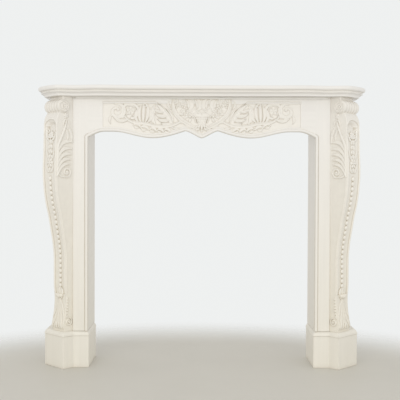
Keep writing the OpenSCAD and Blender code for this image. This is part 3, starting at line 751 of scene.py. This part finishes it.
addPiece("friezeBoard", buildFrieze(), creamRail, "cream_paint", "frieze")
addPiece("carvedPanel", buildPanel(), creamCarved, "cream_paint_carved", "carved_panel")
points, faces, hollow = buildPilaster()
addPair("pilaster", points, faces, creamPost, "cream_paint", "pilaster", hollow)
print("frieze, carved panel and pilasters made")

console = {"along": 0.4, "back": 50 * mm, "frontGlazeAndHighlight": 3.2, "arris": 2.5 * mm, "rowStep": 1.65 * mm,
           "frontSpan": 86 * mm, "frontStep": 1.35 * mm, "sideSpan": 78 * mm, "sideStep": 1.7 * mm}
# the long recess in the front, in millimetres
recess = {"depth": 3.8, "edge": 2.2, "scoop": 13, "scoopOver": 19, "lowShare": 0.17, "archRise": 27,
          "archGap": 34, "lowGap": 16, "border": (3.0, 7.5), "widensAt": 930, "widensOver": 70,
          "lip": 1.5, "lipFrom": 286, "lipEnd": 18}
roll = {"radius": 27 * mm, "width": 102 * mm, "gap": 12 * mm, "out": -4 * mm, "ribs": 6, "ribDepth": 4.2 * mm,
        "endDrop": 1.6 * mm, "discRadius": 22.5 * mm, "discSink": 1.6 * mm, "rim": 0.6 * mm, "neck": 0.6}
curl = {"high": 281 * mm, "out": 5 * mm, "halfWidth": 20 * mm, "bow": 3 * mm}
rollZ = shelfLow - roll["gap"] - roll["radius"]
neckZ = rollZ - roll["neck"] * roll["radius"]
cantedLength = (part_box("plinth_right")[1].x - noseX) * math.sqrt(2)
consoleMiddle = cantedLength * console["along"]
# height in millimetres, how far the front stands out of the canted face, and the width there
stance = {
    "out": [(146, -13), (163, -6), (188, -11), (230, -18), (268, -21), (330, -17), (420, -17), (474, -13),
            (544, -1), (595, 8), (645, 20), (700, 28), (774, 32), (850, 29), (950, 27), (974, 24), (1000, 10),
            (1012, -2), (1040, -4), (1062, -4)],
    "width": [(146, 80), (170, 77), (220, 78), (290, 82), (480, 82), (640, 87), (774, 91), (900, 90),
              (960, 88), (1000, 84), (1062, 84)],
}
chain = {"low": 302.0, "high": 742.0, "pitch": 19.0, "radius": 8.6, "out": 6.4}


def atHeight(name, z):
    return throughKnots(stance[name], z / mm) * mm


def arrisAt(high):
    # how far out the line of carving beside the front arris runs, both in millimetres
    return throughKnots(stance["out"], np.array([high]))[0] - 5


def onCantedFace(s, e, z):
    # from across the canted face, out of it and up, to the model
    c = math.sqrt(0.5)
    s, e, z = np.broadcast_arrays(s + consoleMiddle, e, z)
    return np.stack([noseX + c * (s + e), wallY - noseDepth + c * (s - e), z], -1)


def palmette(field, foot, size, height):
    # a shell of lobes spread over a small scroll
    for turn in range(-75, 76, 25):
        reach = size * (1.05 - 0.28 * abs(turn) / 75)
        du, dv = reach * math.sin(math.radians(turn)), reach * math.cos(math.radians(turn))
        shares = ((0, 0), (0.35, 0.35), (0.75, 0.7), (1, 1))
        points = [(foot[0] + du * a, foot[1] + dv * b) for a, b in shares]
        leaf(field, *points, (size * 0.14, size * 0.3, size * 0.4, size * 0.2), height, 9, vein=0.2)
    dome(field, foot, size * 0.2, height * 1.1)


def frontCarving(s, z):
    # relief of the console's front face, over the floor of its long recess; both halves are alike
    field = newField(np.abs(s) / mm, z / mm)
    top = neckZ / mm
    palmette(field, (0, top - 106), 24, 5.4)
    leaf(field, (4, top - 118), (22, top - 116), (32, top - 96), (29, top - 74), (4, 10, 9, 4), 5.2, 14,
         dish=0.3)
    stroke(field, spiral((24, top - 80), 8, 3, 0, 330, 1.0, 24), (4, 5, 4), 5.0)
    leaf(field, (4, top - 190), (16, top - 186), (24, top - 172), (25, top - 154), (4, 11, 10, 3), 4.0, 12,
         vein=0.3)
    leaf(field, (3, top - 238), (14, top - 240), (22, top - 226), (20, top - 208), (4, 11, 10, 3), 4.0, 12,
         vein=0.3)
    for i in range(4):
        husk(field, (0, top - 114 - 19 * i), 18 - 0.6 * i, 5.8)
    rosette(field, (0, top - 203), 20, 6, 6.6)
    husk(field, (0, top - 222), 15, 4.6)
    beads = int(round((chain["high"] - chain["low"]) / chain["pitch"])) + 1
    for at in np.linspace(chain["low"], chain["high"], beads):
        dome(field, (0, at), chain["radius"], chain["out"], 0.98)
    # leaf that curls forward under the beads
    leaf(field, (0, 312), (0, 300), (0, 288), (0, 274), (6, 15, 13, 6), 7.5, vein=0.2)
    leaf(field, (6, 312), (13, 300), (15, 288), (12, 274), (6, 15, 13, 6), 6.0, vein=0.2)
    # leaves that spread over the foot
    leaf(field, (4, 270), (8, 232), (14, 200), (31, 160), (5, 12, 13, 5), 3.8, 16, vein=0.3)
    leaf(field, (8, 262), (18, 240), (27, 220), (35, 192), (4, 10, 10, 3), 3.2, 16, vein=0.3)
    leaf(field, (3, 215), (6, 196), (9, 176), (15, 156), (4, 10, 11, 4), 3.2, 12, vein=0.3)
    leaf(field, (0, 272), (0, 236), (0, 196), (0, 156), (5, 13, 11, 4), 4.4, 16, vein=0.3)
    return field["h"].reshape(np.shape(s))


def consoleFront(s, z):
    # all the relief of the front in millimetres: recess, its raised borders, and the carving in it
    sHere, zHere = s / mm, z / mm
    narrow, wide = recess["border"]
    half = atHeight("width", z) / mm / 2 - narrow
    half -= (wide - narrow) * smooth((recess["widensAt"] - zHere) / recess["widensOver"])
    rise = recess["archRise"]
    headZ = neckZ / mm - recess["archGap"] - rise
    arched = rise * (1 - np.hypot(sHere / half, (zHere - headZ) / rise))
    # distance inside the recess, which ends in an arch and starts a little under the beads
    inside = np.where(zHere > headZ, arched, half - np.abs(sHere))
    inside = np.minimum(inside, zHere - (chain["low"] - recess["lowGap"]))
    sunk = smooth(inside / recess["edge"] + 0.2)
    scoop = recess["scoop"] * smooth(inside / recess["scoopOver"])
    scoop *= recess["lowShare"] + (1 - recess["lowShare"]) * smooth((zHere - headZ + 50) / 55)
    border = recess["lip"] * np.exp(-((inside + 1.8) / 1.5) ** 2)
    border *= smooth((zHere - recess["lipFrom"]) / 12) * smooth((neckZ / mm - recess["lipEnd"] - zHere) / 14)
    carving = frontCarving(s, z)
    ground = np.where(inside > -1, -(recess["depth"] + scoop) * sunk, 0)
    return np.maximum(ground + border, np.where(carving > 0, ground + carving, -99))


def consoleSide(e, z):
    # relief of each side in millimetres: a stem down the arris, fronds arched back from it, and a volute
    front = atHeight("out", z) / mm
    field = newField(e / mm, z / mm)
    arris = np.array([(arrisAt(high), high) for high in np.linspace(860, 772, 12)])
    stem = joined(bezier((-18, 966), (-12, 930), (8, 900), arris[0], 18), arris)
    for i, high in enumerate((884, 858, 836, 816, 797)):
        foot = arrisAt(high - 46)
        leaf(field, (-44 + 3 * i, high), (-14, high + 5), (foot - 12, high - 2), (foot - 1, high - 46),
             (7, 15, 14, 5), 4.6 + 0.25 * i, 20, vein=0.18, lean=-0.4)
    leaf(field, (-28, 940), (-40, 925), (-46, 905), (-42, 886), (4, 12, 10, 3), 3.6, 14, vein=0.25)
    leaf(field, (-10, 936), (-24, 925), (-30, 908), (-22, 893), (4, 11, 9, 3), 3.8, 14, vein=0.25)
    stroke(field, stem, (5, 9, 10, 9, 5), 6.0, dish=0.15)
    volute, footVolute = (-19, 766), (-33, 180)
    stroke(field, spiral(volute, 20, 5, -62, -560, 1.0, 60), (6, 8, 8, 6), 5.4, dish=0.3)
    stroke(field, joined(arris[-3:], bezier(arris[-1], (22, 756), (6, 744), (-9, 748), 12)),
           (5, 8, 7), 5.2, dish=0.2)
    dome(field, volute, 6, 6.4)
    rosette(field, (-18, neckZ / mm - 20), 11, 5, 4.8)
    for way in (-1, 1):
        leaf(field, (-18, 972), (-18 + way * 8, 968), (-18 + way * 14, 958), (-18 + way * 13, 948),
             (4, 8, 2), 4.0, 9, vein=0.2)
    for i in range(7):
        at = 271 - 11.5 * i
        dome(field, (arrisAt(at) + 0.5 - 1.1 * i, at), 5.4 - 0.2 * i, 4.4)
    stroke(field, spiral(footVolute, 15, 5, 100, 620, 1.0, 50), (4, 7, 6, 5), 5.4, dish=0.15, lean=0.2)
    dome(field, footVolute, 5, 5.6)
    leaf(field, (-20, 196), (-22, 208), (-17, 220), (-12, 232), (5, 6, 2), 3.4)
    # a fine bead follows the front arris of the slim part
    near = (z / mm > 300) & (z / mm < 780)
    line = np.exp(-((front - e / mm - 7) / 1.8) ** 2) * 1.3 * near
    return np.maximum(field["h"].reshape(np.shape(e)), line)


def buildConsole():
    zs = np.linspace(capTop, shelfLow, int((shelfLow - capTop) / console["rowStep"]))
    frontCount = int(console["frontSpan"] / console["frontStep"])
    sideCount = int(console["sideSpan"] / console["sideStep"])
    out = atHeight("out", zs)[:, None]
    half = atHeight("width", zs)[:, None] / 2
    z = zs[:, None]
    r = console["arris"]
    across = np.linspace(-1, 1, frontCount)[None, :]
    s = across * (half - r)
    frontE = out + consoleFront(s, z + 0 * s) * mm * smooth((1 - np.abs(across)) * 16)
    turn = np.radians(np.linspace(90, 0, 6)[1:-1])[None, :]
    cornerS, cornerE = half - r + r * np.cos(turn), out - r + r * np.sin(turn)
    back = np.linspace(0, 1, sideCount)[None, :]
    sideE = (out - r) * (1 - back) - console["back"] * back
    fade = smooth(back * sideCount / 3) * smooth((1 - back) * sideCount / 3)
    sideS = half + consoleSide(sideE, z + 0 * sideE) * mm * fade
    ringS = np.concatenate([s, cornerS, sideS, -sideS[:, ::-1], -cornerS[:, ::-1]], 1)
    ringE = np.concatenate([frontE, cornerE, sideE, sideE[:, ::-1], cornerE[:, ::-1]], 1)
    rings = onCantedFace(ringS, ringE, z)
    sideHollow = hollowOf(sideS - half)
    # the front's hollow values are scaled up: more glazing in its recesses and a stronger painted highlight
    # on its ridges
    hollow = np.concatenate([hollowOf(frontE - out) * console["frontGlazeAndHighlight"], 0 * cornerS, sideHollow,
                             sideHollow[:, ::-1], 0 * cornerS], 1)
    points, faces = tube(rings)
    return points, faces, hollow.ravel()


def rollRings():
    # from the middle of one end disc, over its rim and the ribs, to the middle of the other
    turns = np.radians(np.linspace(0, 360, 96, endpoint=False))
    disc = np.linspace(0.6 * mm, roll["discRadius"], 22)
    field = newField(np.outer(disc, np.cos(turns)) / mm, np.outer(disc, np.sin(turns)) / mm)
    stroke(field, spiral((0, 0), 18, 3, 40, 560, 1.0, 60), (3, 5, 5, 4), 3.4, lean=0.3)
    dome(field, (0, 0), 4.5, 4.2)
    distance = np.hypot(field["u"], field["v"])
    raiseTo(field, slice(None), 3.4 * np.exp(-((distance - 20) / 1.7) ** 2))
    relief = field["h"].reshape(len(disc), len(turns)) * mm - roll["discSink"]
    halfWidth = roll["width"] / 2
    t = np.linspace(0, 1, roll["ribs"] * 12 + 1)
    wave = np.abs(np.sin(math.pi * t * roll["ribs"])) ** 0.6
    swell = roll["radius"] - roll["ribDepth"] * (1 - wave) - roll["endDrop"] * (2 * t - 1) ** 4
    alongS = (2 * t - 1) * halfWidth

    def ring(s, radius):
        # one ring about the roll's own axis
        return onCantedFace(s, roll["out"] + radius * np.cos(turns), rollZ + radius * np.sin(turns))

    rim = roll["discRadius"] + roll["rim"]
    rings = [ring(-halfWidth - bulge, radius) for bulge, radius in zip(relief, disc)]
    rings += [ring(s, radius) for s, radius in [(-halfWidth, rim), *zip(alongS, swell), (halfWidth, rim)]]
    rings += [ring(halfWidth + bulge, radius) for bulge, radius in zip(relief[::-1], disc[::-1])]
    discHollow = hollowOf(np.abs(relief))
    plain = np.zeros((1, len(turns)))
    ribHollow = np.repeat((1 - wave)[:, None] * 1.3, len(turns), 1)
    hollow = np.concatenate([discHollow, plain, ribHollow, plain, discHollow[::-1]])
    return np.array(rings), hollow


def curlRings():
    # the tip of the leaf under the beads, rolled forward
    turns = np.radians(np.linspace(0, 360, 40, endpoint=False))
    t = np.linspace(-1, 1, 41)
    high, bow = curl["high"], curl["bow"]
    out = atHeight("out", np.array([high]))[0] + curl["out"]
    radius = (8.6 - 3.6 * np.abs(t) ** 2.2 + 0.8 * np.cos(t * 9)) * mm
    return np.array([onCantedFace(curl["halfWidth"] * a, out + r * np.cos(turns) - bow * a * a,
                                  high + r * np.sin(turns) + bow * a * a) for a, r in zip(t, radius)])


points, faces, hollow = buildConsole()
addPair("console", points, faces, creamCarved, "cream_paint_carved", "console", hollow, 50)
rings, hollow = rollRings()
for side in ("Right", "Left"):
    addSide(side, "consoleRoll", *tube(rings), creamCarved, "cream_paint_carved", None, hollow.ravel(), 55)
    addSide(side, "leafCurl", *tube(curlRings()), creamCarved, "cream_paint_carved", None, None, 55)
print("consoles made")

cap = {"inset": 13 * mm, "start": 5.8 * mm, "corner": 1.6 * mm}


def plinthPlan(by):
    # plan of the right plinth grown outwards by a distance, anticlockwise from above
    k = math.sqrt(2)
    low, high = plinthLow, plinthHigh
    flatDepth = noseDepth - noseOut
    cornerDepth = noseDepth - (high.x - noseX)
    slant = by * (k - 1)
    plan = [(high.x + by, 0), (high.x + by, cornerDepth + slant), (noseX, noseDepth + by * k),
            (low.x + plinthFlat - slant, flatDepth + by), (low.x - by, flatDepth + by), (low.x - by, 0)]
    return [(x, wallY - depth) for x, depth in reversed(plan)]


def softCorners(plan, radius, count=4):
    # the plan with its upright edges rounded; the two at the wall stay sharp
    plan = np.array(plan)
    t = np.linspace(0, 1, count)[:, None]
    out = [plan[:1]]
    for before, here, after in zip(plan, plan[1:], plan[2:]):
        a = here + (before - here) / np.linalg.norm(before - here) * radius
        b = here + (after - here) / np.linalg.norm(after - here) * radius
        out.append((1 - t) ** 2 * a + 2 * (1 - t) * t * here + t ** 2 * b)
    return np.concatenate(out + [plan[-1:]])


def planRings(levels, radius):
    # a ring of the plan at each height, grown by its own distance
    plans = [softCorners(plinthPlan(by), radius) for _, by in levels]
    return np.array([np.column_stack([plan, np.full(len(plan), z)]) for plan, (z, _) in zip(plans, levels)])


def capLevels():
    low, height = capLow, capTop - capLow
    lip = [(low + 0.1 * mm, -0.6 * mm), (low + 0.5 * mm, 1.2 * mm), (low + 1.2 * mm, 1.9 * mm),
           (low + 4.2 * mm, 2 * mm), (low + 5.2 * mm, 1.3 * mm), (low + 5.6 * mm, 0.2 * mm)]
    start, rise, inset = low + cap["start"], height - cap["start"], cap["inset"] + 0.2 * mm
    ovolo = [(start + rise * math.sin(a) ** 1.15, 0.2 * mm - inset * (1 - math.cos(a)) ** 0.9)
             for a in np.linspace(0.08, math.pi / 2, 12)]
    return lip + ovolo


def plinthLevels():
    low, high = plinthLow.z, plinthHigh.z
    return [(low, -0.8 * mm), (low + 0.8 * mm, 0), (low + 20 * mm, 0), ((low + high) / 2, 0),
            (high - 0.8 * mm, 0), (high, -0.7 * mm)]


for name, levels, node in (("plinthCap", capLevels(), "plinth_cap"), ("plinth", plinthLevels(), "plinth")):
    points, faces = tube(planRings(levels, cap["corner"]))
    addPair(name, points, faces, creamPost, "cream_paint", node)
print("plinths and caps made")


# the plain boards keep the model's own shapes, with their sharp edges eased
easing = {"width": 0.9 * mm, "fineWidth": 0.6 * mm, "weld": 0.02 * mm, "flat": 1, "sharp": 30}


def easedBoard(node, name, material, width=easing["width"]):
    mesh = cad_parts[node].data.copy()
    mesh.materials.clear()
    piece = addPiece(name, mesh, material, "cream_paint", node)
    weld = piece.modifiers.new("weld", "WELD")
    weld.merge_threshold = easing["weld"]
    flat = piece.modifiers.new("flat", "DECIMATE")
    flat.decimate_type = "DISSOLVE"
    flat.angle_limit = math.radians(easing["flat"])
    ease = piece.modifiers.new("ease", "BEVEL")
    ease.width = width
    ease.segments = 2
    ease.limit_method = "ANGLE"
    ease.angle_limit = math.radians(easing["sharp"])
    ease.harden_normals = False


easedBoard("bed_moulding", "bedMoulding", creamRail, easing["fineWidth"])
for side in ("Left", "Right"):
    for node, name in (("inner_return", "innerReturn"), ("canted_board", "cantedBoard"),
                       ("outer_return", "outerReturn")):
        easedBoard(node + "_" + side.lower(), name + side, creamPost)
print("boards made")

studio = {"middle": (0, -0.75, 0), "floorRadius": 2.4, "fadeFrom": 1.12, "fadeTo": 1.75, "ambient": 0.80,
          "floorShades": ((0.61, 0.592, 0.54, 1), (0.67, 0.652, 0.60, 1)), "backdrop": (0.86, 0.875, 0.87, 1),
          "skyLight": (1, 0.99, 0.965, 1)}
keyLight = {"place": (-1.5, -5.0, 1.75), "aim": (0, 0, 0.65), "size": (2.6, 1.8), "power": 54,
            "colour": (1, 0.985, 0.95)}
fillLight = {"place": (2.6, -4.6, 1.0), "aim": (0, 0, 0.6), "size": (2.4, 1.6), "power": 29,
             "colour": (0.97, 0.985, 1)}
view = {"place": (-0.0101, -2.994, 0.704), "lens": 67.3, "sensor": 36,
        "down": 0.885, "aside": 0.081, "tilt": 0.19}  # the last three in degrees


def buildFloor():
    # a pale disc that fades into the backdrop away from the piece
    middle, radius = studio["middle"], studio["floorRadius"]
    turns = np.linspace(0, 2 * math.pi, 96, endpoint=False)
    rim = [(middle[0] + radius * math.cos(a), middle[1] + radius * math.sin(a), 0) for a in turns]
    mesh = bpy.data.meshes.new("floor")
    mesh.from_pydata(rim, [], [list(range(len(rim)))])
    floor = newObject("floor", mesh)
    material = bpy.data.materials.new("paleFloor")
    material.use_nodes = True
    tree = material.node_tree
    shader = tree.nodes["Principled BSDF"]
    place = addNode(tree, "ShaderNodeTexCoord").outputs["Object"]
    shade = addNode(tree, "ShaderNodeValToRGB", {"Fac": noise(tree, place, 3, 3)})
    for stop, colour in zip(shade.color_ramp.elements, studio["floorShades"]):
        stop.color = colour
    feed(tree, shader, {"Base Color": shade.outputs["Color"], "Roughness": 0.55})
    offset = addNode(tree, "ShaderNodeVectorMath", {0: place, 1: middle}, operation="SUBTRACT")
    away = addNode(tree, "ShaderNodeVectorMath", {0: offset.outputs[0]}, operation="LENGTH")
    reach = {"From Min": studio["fadeFrom"], "From Max": studio["fadeTo"], "Value": away.outputs["Value"]}
    fade = addNode(tree, "ShaderNodeMapRange", reach, interpolation_type="SMOOTHSTEP")
    clear = addNode(tree, "ShaderNodeBsdfTransparent")
    mix = addNode(tree, "ShaderNodeMixShader", {0: fade.outputs["Result"], 1: shader.outputs[0],
                                                2: clear.outputs[0]})
    feed(tree, tree.nodes["Material Output"], {"Surface": mix.outputs[0]})
    mesh.materials.append(material)


def aimedArea(name, lamp):
    light = bpy.data.lights.new(name, "AREA")
    light.shape = "RECTANGLE"
    light.size, light.size_y = lamp["size"]
    light.energy = lamp["power"]
    light.color = lamp["colour"]
    stand = newObject(name, light)
    stand.location = lamp["place"]
    stand.rotation_euler = (Vector(lamp["aim"]) - Vector(lamp["place"])).to_track_quat("-Z", "Y").to_euler()


def buildWorld():
    # a pale backdrop for the camera, and warm even light for everything else
    world = bpy.data.worlds.new("studio")
    bpy.context.scene.world = world
    world.use_nodes = True
    tree = world.node_tree
    tree.nodes.clear()
    seen = addNode(tree, "ShaderNodeBackground", {"Color": studio["backdrop"]})
    lit = addNode(tree, "ShaderNodeBackground", {"Color": studio["skyLight"], "Strength": studio["ambient"]})
    path = addNode(tree, "ShaderNodeLightPath")
    mix = addNode(tree, "ShaderNodeMixShader", {0: path.outputs["Is Camera Ray"], 1: lit.outputs[0],
                                                2: seen.outputs[0]})
    addNode(tree, "ShaderNodeOutputWorld", {"Surface": mix.outputs[0]})


def buildCamera():
    camera = bpy.data.cameras.new("camera")
    camera.sensor_width = view["sensor"]
    camera.lens = view["lens"]
    rig = newObject("camera", camera)
    rig.location = view["place"]
    pitch, yaw, tilt = (math.radians(view[turn]) for turn in ("down", "aside", "tilt"))
    turned = Euler((math.pi / 2 - pitch, 0, -yaw), "XYZ").to_matrix() @ Matrix.Rotation(tilt, 3, "Z")
    rig.rotation_euler = turned.to_euler()
    bpy.context.scene.camera = rig


buildFloor()
aimedArea("keyLight", keyLight)
aimedArea("fillLight", fillLight)
buildWorld()
buildCamera()
bpy.context.scene.view_settings.view_transform = "Standard"
print("studio made")
